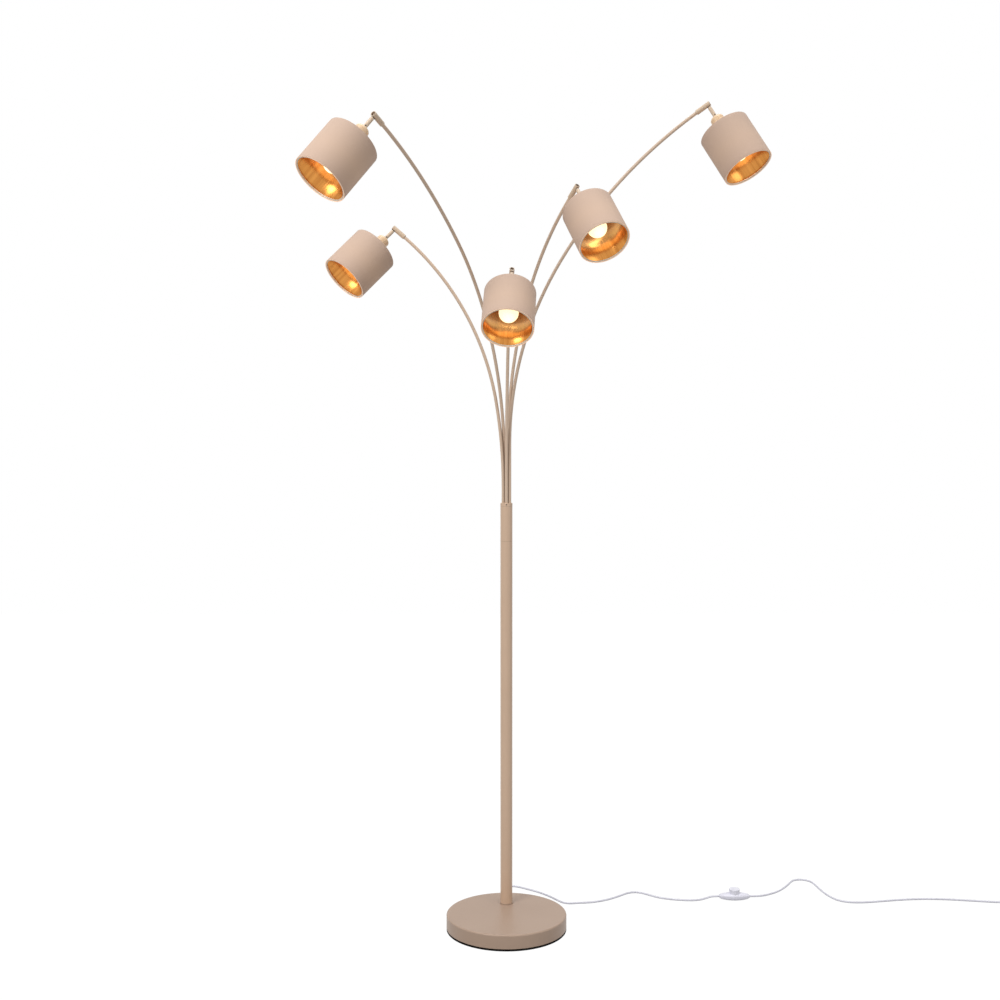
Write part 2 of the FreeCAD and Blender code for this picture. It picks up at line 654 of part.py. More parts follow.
def biarc(start, start_dir, end, end_dir):
    """Two arcs that join smoothly and keep the direction at both ends."""
    v = end - start
    t = start_dir + end_dir
    a = 2.0 * (1.0 - start_dir.dot(end_dir))
    b = v.dot(t)
    if a < 1e-9:
        reach = v.dot(v) / (4.0 * v.dot(end_dir))
    else:
        reach = (-b + math.sqrt(b * b + a * v.dot(v))) / a
    join = (start + start_dir * reach + end - end_dir * reach) * 0.5
    return [arc_from(start, start_dir, join), arc_from(end, end_dir * -1.0, join)]


def arc_from(start, direction, end):
    """The arc that leaves start in a direction and ends at end."""
    chord = end - start
    side = chord - direction * chord.dot(direction)
    if side.Length < 1e-6:
        return Part.makeLine(start, end)
    side.normalize()
    radius = chord.dot(chord) / (2.0 * chord.dot(side))
    centre = start + side * radius
    middle = centre + ((start + end) * 0.5 - centre).normalize() * radius
    return Part.Arc(start, middle, end).toShape()


def coil_path():
    steps = int(round((COIL_WIND + COIL_CROSS) / COIL_STEP))
    angles = [COIL_STEP * k for k in range(steps + 1)]
    edges = [Part.makeLine(coil_point(0) - Vector(COIL_STRAIGHT, 0, 0), coil_point(0))]
    for low, high in zip(angles, angles[1:]):
        edges += biarc(coil_point(low), coil_heading(low), coil_point(high), coil_heading(high))
    out = coil_point(angles[-1])
    low_end = Vector(out.x - COIL_TAIL, out.y, PLUG_T / 2.0)
    edges += biarc(out, Vector(-1, 0, 0), low_end, Vector(-1, 0, 0))
    edges.append(Part.makeLine(low_end, low_end - Vector(COIL_STRAIGHT, 0, 0)))
    return Part.Wire([piece for edge in edges for piece in Part.Wire(edge).Edges])


def coil_end():
    out = coil_point(COIL_WIND + COIL_CROSS)
    return Vector(out.x - COIL_TAIL - COIL_STRAIGHT, out.y, PLUG_T / 2.0)


def cord_coil():
    """The stored length: one unbroken tube; prints its least gap to itself."""
    path = coil_path()
    start = coil_point(0) - Vector(COIL_STRAIGHT, 0, 0)
    tube = swept(path, CORD_D, start, Vector(1, 0, 0))
    spacing = 2.0
    points = path.discretize(Distance=spacing)
    apart = int(3 * CORD_D / spacing)
    least = min(p.distanceToPoint(q) for i, p in enumerate(points) for q in points[i + apart:])
    print("cord_coil length %.0f, least gap to itself %.2f" % (path.Length, least - CORD_D))
    report_volume("cord_coil", tube, CORD_D, path.Length)
    return tube


# ================================================================ foot switch
def switch_plan(inset):
    """The switch seen from above: two bowed sides and two blunt ends."""
    x = SWITCH_L / 2.0 - inset
    y = SWITCH_W / 2.0 - inset
    end_y = SWITCH_END_W / 2.0 - inset
    front = Part.Arc(Vector(-x, -end_y, 0), Vector(0, -y, 0), Vector(x, -end_y, 0)).toShape()
    right = Part.makeLine(Vector(x, -end_y, 0), Vector(x, end_y, 0))
    rear = Part.Arc(Vector(x, end_y, 0), Vector(0, y, 0), Vector(-x, end_y, 0)).toShape()
    left = Part.makeLine(Vector(-x, end_y, 0), Vector(-x, -end_y, 0))
    return Part.Face(Part.Wire([front, right, rear, left]))


def switch_slab(inset, low, high):
    slab = switch_plan(inset).extrude(Vector(0, 0, high - low))
    slab.translate(Vector(SWITCH_X, SWITCH_Y, low))
    return slab


def switch_side(inset):
    """The switch seen from the front, as a slab through its width: domed top, ends lifted below."""
    x = SWITCH_L / 2.0 - inset
    flat_x = SWITCH_FLAT / 2.0 - inset
    low = inset
    high = SWITCH_H - inset
    drop = SWITCH_END_DROP
    under = [Vector(-x, 0, low + drop), Vector(-flat_x, 0, low), Vector(flat_x, 0, low),
             Vector(x, 0, low + drop)]
    top_right = Vector(x, 0, high - drop)
    top_left = Vector(-x, 0, high - drop)
    edges = [Part.makeLine(a, b) for a, b in zip(under, under[1:] + [top_right])]
    edges.append(Part.Arc(top_right, Vector(0, 0, high), top_left).toShape())
    edges.append(Part.makeLine(top_left, under[0]))
    slab = Part.Face(Part.Wire(edges)).extrude(Vector(0, SWITCH_W, 0))
    slab.translate(Vector(SWITCH_X, SWITCH_Y - SWITCH_W / 2.0, 0))
    return slab


def switch_body(inset):
    return switch_slab(inset, 0.0, SWITCH_H).common(switch_side(inset))


def switch_shell():
    return switch_body(0.0).cut(switch_body(SWITCH_WALL))


def switch_lower():
    """Lower half of the case, with the block that the button is pressed against."""
    case = switch_shell().common(switch_slab(0.0, 0.0, SWITCH_SPLIT))
    return case.fuse(rod(STOP_D, SWITCH_WALL, STOP_TOP, SWITCH_X, SWITCH_Y))


def switch_upper():
    mouth_d = BUTTON_D + 2 * PART_GAP
    shell = switch_shell().common(switch_slab(0.0, SWITCH_SPLIT, SWITCH_H))
    return shell.cut(rod(mouth_d, SWITCH_SPLIT, SWITCH_H, SWITCH_X, SWITCH_Y))


def switch_button():
    """Round foot button with a flange that stops it under the roof."""
    cap = rod(BUTTON_D, BUTTON_LOW, BUTTON_TOP, SWITCH_X, SWITCH_Y)
    cap = cap.makeFillet(BUTTON_EDGE_R, level_edges(cap, BUTTON_TOP))
    flange_d = BUTTON_D + 2 * BUTTON_FLANGE
    return cap.fuse(rod(flange_d, BUTTON_LOW, BUTTON_FLANGE_TOP, SWITCH_X, SWITCH_Y))


# ================================================================ plug
def plug():
    """Flat two-pin plug along -X, lying on the floor, with its strain relief."""
    start = coil_end()
    body_x = -PLUG_RELIEF_L
    nose_x = body_x - PLUG_BODY_L
    w = PLUG_BODY_W / 2.0
    n = PLUG_NECK_W / 2.0
    half_t = PLUG_T / 2.0
    shoulder_x = body_x - w + n
    outline = [(body_x, -n), (body_x, n), (shoulder_x, w), (nose_x, w), (nose_x, -w), (shoulder_x, -w)]
    corners = [Vector(x, y, -half_t) for x, y in outline]
    body = Part.Face(Part.makePolygon(corners + corners[:1])).extrude(Vector(0, 0, PLUG_T))
    relief = Part.makeCone(PLUG_RELIEF_D / 2.0, PLUG_RELIEF_D / 2.0 + 1.0, PLUG_RELIEF_L, Vector(0, 0, 0),
                           Vector(-1, 0, 0))
    pieces = [body.fuse(relief)]
    for side in (-1, 1):
        root = Vector(nose_x, side * PIN_PITCH / 2.0, 0)
        pieces.append(Part.makeCylinder(PIN_D / 2.0, PIN_L, root, Vector(-1, 0, 0)))
    moulded = Part.makeCompound(pieces)
    moulded.translate(start)
    return moulded


# ================================================================ files
def save(name, shape):
    solids = shape.Solids
    if not solids or not all(s.isValid() for s in solids):
        print("NOT SOUND", name)
    if len(solids) == 1:
        shape = solids[0]
    shape.exportStep("parts/%s.step" % name)


def main():
    os.makedirs("parts", exist_ok=True)
    for maker in (base_pad, base_weight, base_cover, foot_collar, foot_stud, foot_nut, pole, head_tube,
                  pole_cap, cap_screws, terminal_block, supply_lead, cord_gland, switch_lower,
                  switch_upper, switch_button, cord_coil, plug):
        save(maker.__name__, maker())
    save("cord_to_switch", cord_run("cord_to_switch", ROUTE_TO_SWITCH))
    coil_start = (COIL_X - COIL_STRAIGHT, COIL_Y - COIL_R, FLOOR_Z)
    save("cord_after_switch", cord_run("cord_after_switch", ROUTE_AFTER_SWITCH + [coil_start]))

    sleeve = barrel()
    head = dict(stem=stem(), holder_cover=holder_cover(), lamp_socket=lamp_socket(),
                shade_carrier=shade_carrier(), shade=shade(), bulb=bulb())
    for number, arm in enumerate(ARMS, start=1):
        save("arm_%d" % number, arm_tube(arm))
        ball, direction, hanging, down = head_frames(arm)
        save("barrel_%d" % number, seated(sleeve, ball, direction, hanging * -1.0))
        across = hanging.cross(direction)
        nose_ward = down.cross(across) * -1.0
        for name, piece in head.items():
            save("%s_%d" % (name, number), seated(piece, ball, nose_ward, down * -1.0))


main()
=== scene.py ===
# %% [markdown]
# # A tree floor lamp
# A weighted round base carries one pole, and five thin arms fan out of the pole's cap. Each arm ends
# in a small barrel with a hanging lampholder and a drum shade of cloth over gold foil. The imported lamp
# gives every hard piece its true shape, so this script adds cords, cloth, foil, glass and finishes.

import json
import math

import bmesh
import bpy
import numpy as np
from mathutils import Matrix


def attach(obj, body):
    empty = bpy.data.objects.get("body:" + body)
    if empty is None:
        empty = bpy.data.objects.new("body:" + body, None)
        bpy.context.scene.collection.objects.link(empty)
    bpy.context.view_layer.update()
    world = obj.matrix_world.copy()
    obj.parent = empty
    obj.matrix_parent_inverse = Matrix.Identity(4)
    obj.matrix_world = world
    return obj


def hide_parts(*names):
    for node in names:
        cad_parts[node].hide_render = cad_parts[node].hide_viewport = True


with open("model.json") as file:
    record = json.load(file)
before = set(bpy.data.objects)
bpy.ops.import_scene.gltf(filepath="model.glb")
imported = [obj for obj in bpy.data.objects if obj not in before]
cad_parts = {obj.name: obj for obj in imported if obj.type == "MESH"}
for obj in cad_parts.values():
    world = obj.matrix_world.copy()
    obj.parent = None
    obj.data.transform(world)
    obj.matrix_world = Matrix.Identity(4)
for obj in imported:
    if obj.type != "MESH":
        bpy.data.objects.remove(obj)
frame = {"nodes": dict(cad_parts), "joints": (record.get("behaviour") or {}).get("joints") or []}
nodes = frame["nodes"]
joints = {joint["name"]: joint for joint in frame["joints"]}
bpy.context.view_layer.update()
scene = bpy.context.scene
scene.view_settings.view_transform = "Standard"
LAMPS = range(1, 6)

# %% [markdown]
# ## Camera
# The whole lamp is nearly two metres tall, and it was seen from about three metres away with the lens
# a little above its middle. A long lens keeps the pole straight. The camera comes first, because the
# cord's stored length has to lie outside what it sees.

# %% Camera
SENSOR = 36.0
FRAME_PIXELS = 1000.0
FOCAL_PIXELS = 1295.1
CAMERA_PLACE = (-0.00882, -3.15578, 1.1905)
CAMERA_DIP = 2.37
CAMERA_TURN = -0.04

camera_data = bpy.data.cameras.new("camera")
camera_data.sensor_width = SENSOR
camera_data.lens = SENSOR * FOCAL_PIXELS / FRAME_PIXELS
camera_data.shift_x = -0.0038
camera_data.shift_y = 0.0003
camera = bpy.data.objects.new("camera", camera_data)
camera.location = CAMERA_PLACE
camera.rotation_euler = (math.radians(90.0 - CAMERA_DIP), 0.0, math.radians(CAMERA_TURN))
scene.collection.objects.link(camera)
scene.camera = camera
print("lens", round(camera_data.lens, 2), "mm")

# %% [markdown]
# ## The cord
# A round white lead leaves the back of the base, wanders to a foot switch and on to the plug. It is
# one fixed length of something flexible, so each part of it is a smooth curve through a given
# route with a round section. The length that isn't needed lies wound in a flat coil, far to the right.

# %% Routes of the cord, in metres
CORD_D = 0.005
ROUTE_TO_SWITCH = [
    (0, 0.180, 0.014), (0, 0.198, 0.014), (-0.003, 0.224, 0.0095), (-0.012, 0.254, 0.003),
    (-0.0125, 0.284, 0.0025), (0.0025, 0.301, 0.0025), (0.025, 0.303, 0.0025), (0.058, 0.279, 0.0025),
    (0.088, 0.2545, 0.0025), (0.113, 0.2255, 0.0025), (0.134, 0.194, 0.0025), (0.147, 0.176, 0.0025),
    (0.164, 0.169, 0.0025), (0.188, 0.174, 0.0025), (0.218, 0.1765, 0.0025), (0.248, 0.1875, 0.0025),
    (0.276, 0.205, 0.0025), (0.301, 0.227, 0.0025), (0.318, 0.2445, 0.0025), (0.336, 0.255, 0.0025),
    (0.355, 0.2535, 0.0025), (0.375, 0.2375, 0.0025), (0.400, 0.214, 0.0025), (0.428, 0.202, 0.0025),
    (0.455, 0.1955, 0.0025), (0.483, 0.192, 0.0025), (0.507, 0.196, 0.0025), (0.524, 0.202, 0.0045),
    (0.541, 0.2055, 0.009), (0.559, 0.2055, 0.009),
]
ROUTE_AFTER_SWITCH = [
    (0.641, 0.2055, 0.009), (0.659, 0.2055, 0.009), (0.679, 0.218, 0.006), (0.701, 0.2385, 0.0032),
    (0.722, 0.2555, 0.0025), (0.746, 0.283, 0.0025), (0.766, 0.315, 0.0025), (0.784, 0.347, 0.0025),
    (0.801, 0.3555, 0.0025), (0.819, 0.353, 0.0025), (0.833, 0.340, 0.0025), (0.8385, 0.312, 0.0025),
    (0.842, 0.280, 0.0025), (0.8475, 0.246, 0.0025), (0.857, 0.214, 0.0025), (0.872, 0.189, 0.0025),
    (0.897, 0.177, 0.0025), (0.932, 0.176, 0.0025), (0.975, 0.184, 0.0025), (1.030, 0.196, 0.0025),
    (1.090, 0.203, 0.0025), (1.150, 0.201, 0.0025), (1.210, 0.191, 0.0025), (1.268, 0.180, 0.0025),
    (1.325, 0.1745, 0.0025), (1.380, 0.172, 0.0025), (1.416, 0.1723, 0.0025),
]
print("route points", len(ROUTE_TO_SWITCH), len(ROUTE_AFTER_SWITCH))

# %% [markdown]
# The coil is a flat spiral. It starts on the outside and winds inwards, then its end climbs over the
# turns and comes out beside the plug. A spline passes inside the corners of its control points, so the
# points stand a little further out than the turns do.

# %% Turns of the coil
COIL_X, COIL_Y, COIL_R = 1.450, 0.208, 0.036
COIL_PITCH = 0.0056
COIL_WIND, COIL_CROSS, COIL_LIFT_FROM = 810.0, 90.0, 700.0
COIL_LIFT, COIL_OUT = 0.0058, 0.020
COIL_STEP = 30.0
CORNER_SPREAD = 1.017
PLUG_START = (1.414, 0.250, 0.0068)


def eased(value):
    """0 below 0 and 1 above 1, with 3v^2 - 2v^3 between."""
    v = min(max(value, 0.0), 1.0)
    return v * v * (3.0 - 2.0 * v)


def coil_point(degrees):
    """Spiral: the radius falls by one pitch a turn, and grows by COIL_OUT over the crossing."""
    r = COIL_R - COIL_PITCH * degrees / 360.0 + COIL_OUT * eased((degrees - COIL_WIND) / COIL_CROSS)
    z = CORD_D / 2.0 + COIL_LIFT * eased((degrees - COIL_LIFT_FROM) / (COIL_WIND - COIL_LIFT_FROM))
    a = math.radians(degrees - 90.0)
    spread = CORNER_SPREAD if 0.0 < degrees < COIL_WIND else 1.0
    return (COIL_X + r * spread * math.cos(a), COIL_Y + r * spread * math.sin(a), z)


coil_steps = int((COIL_WIND + COIL_CROSS) / COIL_STEP)
coil_route = [coil_point(COIL_STEP * step) for step in range(coil_steps + 1)]
tail_route = [(1.436, 0.250, 0.0083), (1.423, 0.250, 0.0069), PLUG_START]
print("coil points", len(coil_route))

# %% [markdown]
# A NURBS spline of low order stays close to its points and never kinks. The curve's own round section
# makes the sheath, and each point's radius gives its thickness, so the cord is one closed tube.

# %% Cord curves


def lay_cord(name, route):
    """A smooth spline with the route as its points; a unit section times each point's radius."""
    curve = bpy.data.curves.new(name, "CURVE")
    curve.dimensions = "3D"
    curve.bevel_depth = 1.0
    curve.bevel_resolution = 3
    curve.resolution_u = 8
    curve.use_fill_caps = True
    spline = curve.splines.new("NURBS")
    spline.points.add(len(route) - 1)
    spline.points.foreach_set("co", [number for point in route for number in (*point, 1.0)])
    spline.points.foreach_set("radius", [CORD_D / 2.0] * len(route))
    spline.order_u = 3
    spline.use_endpoint_u = True
    cord = bpy.data.objects.new(name, curve)
    scene.collection.objects.link(cord)
    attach(cord, "stand")
    return cord


cord_near = lay_cord("cord_near", ROUTE_TO_SWITCH)
cord_far = lay_cord("cord_far", ROUTE_AFTER_SWITCH + coil_route + tail_route)
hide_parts("cord_to_switch")
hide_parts("cord_after_switch", "cord_coil")
print("cord curves", cord_near.name, cord_far.name)

# %% [markdown]
# ## Surfaces worked out on a grid
# A drum, a bulb or a plug is a function of two parameters: how far along its outline, and how far
# round. One helper turns a grid of points into a mesh, and one turns an outline about an axis. Each
# lampholder hangs in its own direction, so a third helper moves points from the lamp's own axes.

# %% Grid helpers


def surface(name, points, wrap_rows=False, uv=None):
    """Quads over a (rows, columns, 3) grid; columns wrap round, and rows do with wrap_rows."""
    rows, columns = points.shape[:2]
    steps = rows if wrap_rows else rows - 1
    i, j = np.meshgrid(np.arange(steps), np.arange(columns), indexing="ij")
    below, right = (i + 1) % rows, (j + 1) % columns
    corners = [(i, j), (i, right), (below, right), (below, j)]
    quads = np.stack([a * columns + b for a, b in corners], -1).reshape(-1, 4)
    mesh = bpy.data.meshes.new(name)
    mesh.from_pydata(points.reshape(-1, 3).tolist(), [], quads.tolist())
    if uv is not None:
        ends = [(i, j), (i, j + 1), (i + 1, j + 1), (i + 1, j)]
        layer = mesh.uv_layers.new(name="surface")
        flat = np.stack([uv(a, b) for a, b in ends], -2).reshape(-1)
        layer.data.foreach_set("uv", flat.astype(np.float32))
    cleaned = bmesh.new()
    cleaned.from_mesh(mesh)
    bmesh.ops.remove_doubles(cleaned, verts=cleaned.verts, dist=1e-6)
    bmesh.ops.recalc_face_normals(cleaned, faces=cleaned.faces)
    cleaned.to_mesh(mesh)
    cleaned.free()
    mesh.shade_smooth()
    return mesh


def turned(outline, columns):
    """Each (radius, height) of the outline goes round Z: x = r cos a, y = r sin a."""
    outline = np.array(outline, float)
    a = np.arange(columns) * 2.0 * np.pi / columns
    r, z = outline[:, :1], outline[:, 1:]
    return np.stack([r * np.cos(a), r * np.sin(a), z + 0.0 * a], -1)


def add_piece(name, mesh, body, material):
    piece = bpy.data.objects.new(name, mesh)
    scene.collection.objects.link(piece)
    mesh.materials.append(material)
    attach(piece, body)
    return piece


print("grid helpers ready")

# %% [markdown]
# The joints in the frame already know where each ball sits and which way its barrel points, so the
# directions are read from there. One head hangs a little forward of straight down from its barrel.

# %% Directions of each hanging head
STEM_TILT = {1: 14.4}


def head_axes(number):
    """Ball centre and rows of the head's axes, from the joints: X to the nose and Z up the stem."""
    ball = np.array(joints[f"turn_{number}"]["pos_m"])
    nose = np.array(joints[f"turn_{number}"]["axis"])
    across = np.array(joints[f"tilt_{number}"]["axis"])
    hanging = np.cross(nose, across)
    angle = math.radians(STEM_TILT.get(number, 0.0))
    down = hanging * math.cos(angle) + nose * math.sin(angle)
    ahead = nose * math.cos(angle) - hanging * math.sin(angle)
    return ball, np.stack([ahead, np.cross(-down, ahead), -down])


def barrel_axes(number):
    """Ball centre and rows of the barrel's axes: Z along the barrel to its nose."""
    ball = np.array(joints[f"turn_{number}"]["pos_m"])
    nose = np.array(joints[f"turn_{number}"]["axis"])
    across = np.array(joints[f"tilt_{number}"]["axis"])
    return ball, np.stack([across, np.cross(nose, across), nose])


def seated(points, axes):
    """Point p of the head goes to ball + x X + y Y + z Z."""
    ball, rows = axes
    return points @ rows + ball


for number in LAMPS:
    print("head", number, "hangs towards", np.round(-head_axes(number)[1][2], 2))

# %% [markdown]
# ## Shader maths
# Finishes vary a little over a surface: grain, weave, wear. Writing that maths as plain arithmetic
# keeps it readable, so one small class wraps a node's output and adds a Math node for each operation.

# %% Links and finishes


def tint(red, green, blue):
    """Screen colour 0-255 to linear light, with the piecewise curve of a normal screen."""
    share = np.array([red, green, blue]) / 255.0
    linear = np.where(share <= 0.04045, share / 12.92, ((share + 0.055) / 1.055) ** 2.4)
    return (*linear.tolist(), 1.0)


class Link:
    """One output of a node, on which arithmetic adds Math nodes."""

    def __init__(self, finish, socket):
        self.finish = finish
        self.socket = socket

    def maths(self, operation, first, second):
        return self.finish.node("ShaderNodeMath", {"operation": operation}, {0: first, 1: second})

    def __add__(self, other):
        return self.maths("ADD", self, other)

    def __radd__(self, other):
        return self.maths("ADD", other, self)

    def __sub__(self, other):
        return self.maths("SUBTRACT", self, other)

    def __rsub__(self, other):
        return self.maths("SUBTRACT", other, self)

    def __mul__(self, other):
        return self.maths("MULTIPLY", self, other)

    def __rmul__(self, other):
        return self.maths("MULTIPLY", other, self)


class Finish:
    """A material, and the one method that adds nodes to it."""

    def __init__(self, name, **constants):
        self.material = bpy.data.materials.new(name)
        self.material.use_nodes = True
        self.tree = self.material.node_tree
        self.shader = self.tree.nodes["Principled BSDF"]
        for socket, value in constants.items():
            self.shader.inputs[socket.replace("_", " ")].default_value = value

    def node(self, kind, settings, values, output=0):
        made = self.tree.nodes.new(kind)
        for setting, value in settings.items():
            if setting == "stops":
                self.set_stops(made.color_ramp.elements, value)
            else:
                setattr(made, setting, value)
        for socket, value in values.items():
            self.feed(made.inputs[socket], value)
        return Link(self, made.outputs[output])

    def set_stops(self, elements, stops):
        while len(elements) < len(stops):
            elements.new(1.0)
        for element, (position, colour) in zip(elements, stops):
            element.position = position
            element.color = colour

    def feed(self, socket, value):
        if isinstance(value, Link):
            self.tree.links.new(value.socket, socket)
        else:
            socket.default_value = value

    def place(self, scale=(1.0, 1.0, 1.0), output="Object"):
        """Coordinates stretched by scale."""
        where = self.node("ShaderNodeTexCoord", {}, {}, output)
        return self.node("ShaderNodeMapping", {}, {"Vector": where, "Scale": scale})

    def noise(self, where, scale, detail=2.0):
        return self.node("ShaderNodeTexNoise", {}, {"Vector": where, "Scale": scale, "Detail": detail})

    def blend(self, share, first, second):
        values = {0: share, 6: first, 7: second}
        return self.node("ShaderNodeMix", {"data_type": "RGBA"}, values, 2)

    def ramp(self, share, stops):
        return self.node("ShaderNodeValToRGB", {"stops": stops}, {"Fac": share})

    def bump(self, height, distance, strength):
        values = {"Height": height, "Distance": distance, "Strength": strength}
        self.set("Normal", self.node("ShaderNodeBump", {}, values))

    def set(self, socket, value):
        self.feed(self.shader.inputs[socket], value)


print("finish helpers ready")

# %% [markdown]
# ## Hard finishes
# The pole, arms and base are powder coated: an even sand colour with a very fine orange-peel grain.
# The grain is a fraction of a millimetre, so it is a bump of close noise, and a second, wide noise
# keeps the colour from being flat.

# %% Powder coat
CLOUD_SCALE = 9.0
PEEL_SCALE = 1600.0
PEEL_DEPTH = 0.00003


def powder_coat(name, light, dark, roughness=0.42):
    finish = Finish(name, Specular_IOR_Level=0.4)
    where = finish.place()
    cloud = finish.noise(where, CLOUD_SCALE, 3.0)
    grain = finish.noise(where, PEEL_SCALE)
    finish.set("Base Color", finish.blend(cloud, dark, light))
    finish.set("Roughness", roughness - 0.05 + 0.1 * grain)
    finish.bump(grain, PEEL_DEPTH, 0.15)
    return finish.material


base_paint = powder_coat("base_paint", tint(170, 146, 128), tint(162, 138, 120))
pole_paint = powder_coat("pole_paint", tint(204, 175, 150), tint(196, 167, 142), 0.3)
arm_paint = powder_coat("arm_paint", tint(202, 178, 156), tint(198, 174, 152), 0.34)
barrel_paint = powder_coat("barrel_paint", tint(204, 182, 158), tint(194, 172, 148), 0.3)
holder_paint = powder_coat("holder_paint", tint(226, 196, 160), tint(216, 186, 150), 0.34)
print("paints ready")

# %% [markdown]
# Inside the base sit a black cast weight and a rubber pad, and small bright steel hardware holds them.
# Cast iron is coarse and dull, rubber is matt with a fine pebble, and steel has a brushed grain.

# %% Rubber, iron, steel and brass
EVEN = (1.0, 1.0, 1.0)


def grained(name, light, dark, roughness, metallic, scale, depth, stretch=EVEN, shine=0.5):
    finish = Finish(name, Metallic=metallic, Specular_IOR_Level=shine)
    grain = finish.noise(finish.place(stretch), scale, 4.0)
    finish.set("Base Color", finish.blend(grain, dark, light))
    finish.set("Roughness", roughness - 0.08 + 0.16 * grain)
    finish.bump(grain, depth, 0.6)
    return finish.material


pad_rubber = grained("pad_rubber", tint(20, 16, 14), tint(8, 6, 5),
                     0.85, 0.0, 700.0, 0.0001, shine=0.08)
cast_iron = grained("cast_iron", tint(58, 56, 54), tint(28, 27, 26),
                    0.75, 0.4, 260.0, 0.0004)
zinc = grained("zinc", tint(200, 198, 192), tint(150, 149, 146),
               0.34, 1.0, 500.0, 0.00003, (1, 1, 0.1))
black_steel = grained("black_steel", tint(62, 56, 50), tint(30, 27, 24),
                      0.45, 0.8, 900.0, 0.00003)
brass = grained("brass", tint(226, 190, 120), tint(176, 138, 74),
                0.3, 1.0, 600.0, 0.00003, (1, 1, 0.2))
wire_coat = grained("wire_coat", tint(214, 206, 190), tint(186, 176, 158),
                    0.4, 0.2, 800.0, 0.00003)
print("metals ready")

# %% [markdown]
# The cord, its bushing and the switch are one cool white plastic. The cord's sheath is softer and
# duller than the switch's case, and moulded plastic shows only a faint texture.

# %% Plastics
MOULD_CLOUD_SCALE = 30.0
MOULD_GRAIN_SCALE = 900.0
MOULD_GRAIN_DEPTH = 0.00002


def moulded(name, light, dark, roughness):
    finish = Finish(name, Specular_IOR_Level=0.45)
    where = finish.place()
    cloud = finish.noise(where, MOULD_CLOUD_SCALE)
    grain = finish.noise(where, MOULD_GRAIN_SCALE)
    finish.set("Base Color", finish.blend(cloud, dark, light))
    finish.set("Roughness", roughness - 0.04 + 0.08 * grain)
    finish.bump(grain, MOULD_GRAIN_DEPTH, 0.4)
    return finish.material


cord_plastic = moulded("cord_plastic", tint(214, 213, 222), tint(200, 199, 210), 0.5)
switch_plastic = moulded("switch_plastic", tint(222, 221, 231), tint(212, 211, 222), 0.32)
button_plastic = moulded("button_plastic", tint(226, 225, 234), tint(216, 215, 226), 0.3)
holder_plastic = moulded("holder_plastic", tint(240, 236, 226), tint(228, 222, 210), 0.4)
block_plastic = moulded("block_plastic", tint(232, 230, 222), tint(218, 216, 208), 0.5)
# Dark colour for the pole's joint lines and for painted shadow in the barrel's nose and above the stem.
dark_joint_and_painted_shadow = moulded("dark_joint_and_painted_shadow", tint(84, 74, 64), tint(60, 52, 45), 0.5)
print("plastics ready")

# %% [markdown]
# ## Cloth and foil
# The shade is a hard drum: linen laminated on a film whose inside is gold foil. Cloth is woven, so
# its colour and height follow two sets of threads along the drum's own unrolled surface.

# %% Linen
THREADS = 2600.0
WEAVE_DEPTH = 0.00012
SHEET_LENGTH = 0.128


def linen(name, light, dark, glow):
    """Threads are noise stretched both ways over the unrolled cloth; a painted glow of bulb light
    shining through is strongest at the bulb's height.
    """
    finish = Finish(name, Roughness=0.8, Emission_Strength=glow, Sheen_Weight=0.1)
    warp = finish.noise(finish.place((1.0, 0.1, 1.0), "UV"), THREADS, 1.0)
    weft = finish.noise(finish.place((0.1, 1.0, 1.0), "UV"), THREADS, 1.0)
    finish.set("Base Color", finish.blend(0.5 * warp + 0.5 * weft, dark, light))
    where = finish.node("ShaderNodeTexCoord", {}, {}, "UV")
    along = finish.node("ShaderNodeSeparateXYZ", {}, {0: where}, 1) * (1.0 / SHEET_LENGTH)
    # Painted glow: bulb light through the cloth, brightest at the bulb's height and dimmer towards both
    # edges.
    stops = [(0.0, tint(190, 130, 92)), (0.44, tint(255, 196, 132)), (1.0, tint(150, 104, 76))]
    finish.set("Emission Color", finish.ramp(along, stops))
    finish.bump(warp + weft, WEAVE_DEPTH, 0.5)
    return finish.material


shade_linen = linen("shade_linen", tint(187, 163, 146), tint(173, 149, 132), 0.07)
# The hem is the same cloth; its paler tint and stronger glow are painted bulb light on the inner fold.
hem_linen_painted_light = linen("hem_linen_painted_light", tint(255, 226, 200), tint(246, 210, 180), 0.4)
print("linen ready")

# %% [markdown]
# The foil is bright brass-coloured metal with upright crinkles, and its streaks of colour are painted
# reflections. The lit bulb makes it glow most at the bulb's own height, so a ramp along the drum's
# height sets this painted glow.

# %% Gold foil
SHADE_LENGTH = 0.114
STREAK_SCALE = 90.0
STREAK_DEPTH = 0.0003


def gold_foil(name):
    """Bright metal with upright crinkles that change its gloss; their streaks of colour are painted
    reflections, and a painted glow of bulb light fades towards its ends.
    """
    finish = Finish(name, Metallic=1.0, Emission_Strength=0.2)
    where = finish.node("ShaderNodeTexCoord", {}, {}, "UV")
    height = finish.node("ShaderNodeSeparateXYZ", {}, {0: where}, 1) * (1.0 / SHADE_LENGTH)
    streaks = finish.noise(finish.place((1.0, 0.03, 1.0), "UV"), STREAK_SCALE)
    stops = [(0.0, tint(160, 84, 26)), (0.3, tint(220, 132, 58)), (0.5, tint(255, 214, 140)),
             (0.75, tint(200, 120, 52)), (1.0, tint(110, 60, 20))]
    # Painted glow of bulb light: brightest at the bulb's height, darker towards both ends, shifted by
    # the streaks.
    finish.set("Emission Color", finish.ramp(height + 0.2 * streaks - 0.1, stops))
    # The streaks of colour in the metal are painted reflections.
    finish.set("Base Color", finish.blend(streaks, tint(132, 72, 22), tint(232, 168, 90)))
    finish.set("Roughness", 0.2 + 0.16 * streaks)
    finish.bump(streaks, STREAK_DEPTH, 0.5)
    return finish.material


foil = gold_foil("gold_foil")
print("foil ready")

